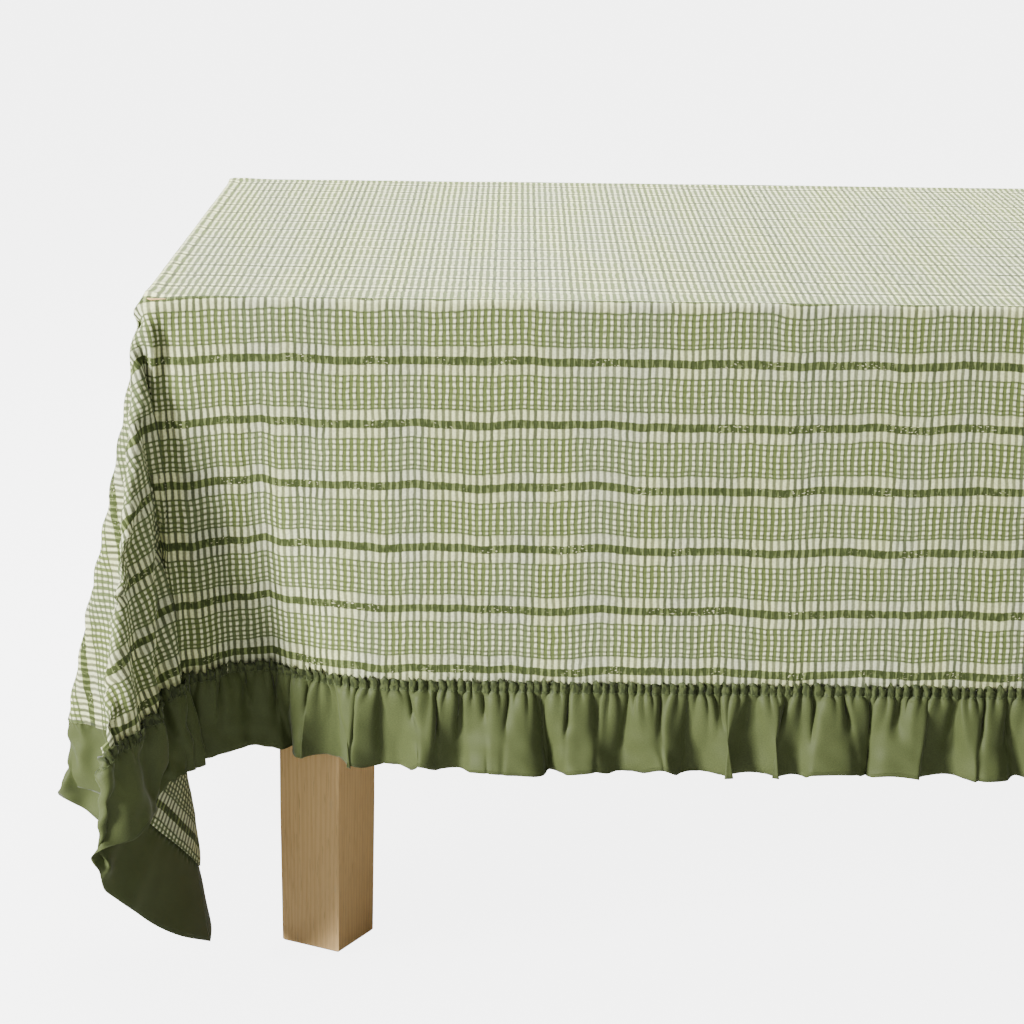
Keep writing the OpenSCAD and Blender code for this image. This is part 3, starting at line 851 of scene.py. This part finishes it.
def oak_piece(part, grain_turn, shift, light, dark):
    """Gives one CAD part its own cut of oak, its grain turned from X and shifted in the tree."""
    wood = bpy.data.materials.new("oak_" + part)
    wood.use_nodes = True
    tree = wood.node_tree
    shader = tree.nodes["Principled BSDF"]
    where = node(tree, "ShaderNodeTexCoord").outputs["Object"]
    place = node(tree, "ShaderNodeMapping", {"Vector": where, "Location": shift, "Rotation": grain_turn})
    figure = node(tree, "ShaderNodeGroup", node_tree=oak)
    figure.inputs["Light"].default_value = light
    figure.inputs["Dark"].default_value = dark
    tree.links.new(place.outputs[0], figure.inputs["Place"])
    tree.links.new(figure.outputs["Color"], shader.inputs["Base Color"])
    tree.links.new(figure.outputs["Roughness"], shader.inputs["Roughness"])
    bump = node(tree, "ShaderNodeBump", {"Height": figure.outputs["Height"], "Strength": 0.5, "Distance": 0.0003})
    tree.links.new(bump.outputs["Normal"], shader.inputs["Normal"])
    shader.inputs["Specular IOR Level"].default_value = 0.35
    piece = bpy.data.objects[part]
    piece.data.materials.clear()
    piece.data.materials.append(wood)


leg_light, leg_dark = tint(252, 211, 146), tint(206, 156, 98)
upright = (0, math.radians(90), 0)
for k, corner in enumerate(("front_left", "front_right", "back_right", "back_left")):
    oak_piece("leg_" + corner, upright, (0.3 + 0.71 * k, 0.13 * k, 0.37 * k), leg_light, leg_dark)
along_table = (0, 0, 0)
for k, board in enumerate(boards):
    oak_piece(board, along_table, (0.9 * k, 0.17 * k, 0.29 * k), leg_light, leg_dark)
across_table = (0, 0, math.radians(90))
for k, side in enumerate(("left", "right")):
    oak_piece("batten_" + side, across_table, (0.5 * k, 0.4 * k, 0.9), leg_light, leg_dark)


# ---------- Steel plates, bolts and screws ----------
# Bright zinc over steel, as it comes from the box: faint clouding, fine rolling marks, dull spots.
zinc = bpy.data.materials.new("bright_zinc")
zinc.use_nodes = True
tree = zinc.node_tree
shader = tree.nodes["Principled BSDF"]
where = node(tree, "ShaderNodeTexCoord").outputs["Object"]
cloud = node(tree, "ShaderNodeTexNoise", {"Vector": where, "Scale": 60.0, "Detail": 4.0}).outputs["Fac"]
drawn = node(tree, "ShaderNodeMapping", {"Vector": where, "Scale": (1, 0.04, 1)}).outputs[0]
rolled = node(tree, "ShaderNodeTexNoise", {"Vector": drawn, "Scale": 1800.0, "Detail": 1.0}).outputs["Fac"]
spots = fade(tree, node(tree, "ShaderNodeTexNoise", {"Vector": where, "Scale": 300.0}).outputs["Fac"], 0.62, 0.7)
metal = blended(tree, cloud, tint(176, 180, 184), tint(206, 208, 208))
metal = blended(tree, sums(tree, "MULTIPLY", spots, 0.5), metal, tint(140, 142, 140))
tree.links.new(metal, shader.inputs["Base Color"])
shader.inputs["Metallic"].default_value = 1.0
tree.links.new(fade(tree, cloud, 0.3, 0.7, 0.26, 0.44), shader.inputs["Roughness"])
bump = node(tree, "ShaderNodeBump", {"Height": rolled, "Strength": 0.25, "Distance": 0.0001})
tree.links.new(bump.outputs["Normal"], shader.inputs["Normal"])
steel = ["hanger_bolts", "plate_screws", "batten_screws"]
steel += ["leg_plate_" + corner for corner in ("front_left", "front_right", "back_right", "back_left")]
for part in steel:
    bpy.data.objects[part].data.materials.clear()
    bpy.data.objects[part].data.materials.append(zinc)


# ---------- Floor glides ----------
# Round nylon glides pressed into the feet, dark grey, with a fine moulded texture and a scuffed rim.
nylon = bpy.data.materials.new("dark_nylon")
nylon.use_nodes = True
tree = nylon.node_tree
shader = tree.nodes["Principled BSDF"]
where = node(tree, "ShaderNodeTexCoord").outputs["Object"]
grainy = node(tree, "ShaderNodeTexNoise", {"Vector": where, "Scale": 1400.0, "Detail": 2.0}).outputs["Fac"]
height = node(tree, "ShaderNodeSeparateXYZ", {0: where}).outputs[2]
scuff = sums(tree, "MULTIPLY", fade(tree, height, 0.0, 0.0012, 1.0, 0.0), grainy)
tree.links.new(blended(tree, scuff, tint(58, 58, 60), tint(150, 148, 144)), shader.inputs["Base Color"])
tree.links.new(fade(tree, grainy, 0.3, 0.7, 0.45, 0.62), shader.inputs["Roughness"])
bump = node(tree, "ShaderNodeBump", {"Height": grainy, "Strength": 0.4, "Distance": 0.0002})
tree.links.new(bump.outputs["Normal"], shader.inputs["Normal"])
for corner in ("front_left", "front_right", "back_right", "back_left"):
    glide = bpy.data.objects["floor_glide_" + corner]
    glide.data.materials.clear()
    glide.data.materials.append(nylon)

bpy.context.view_layer.update()
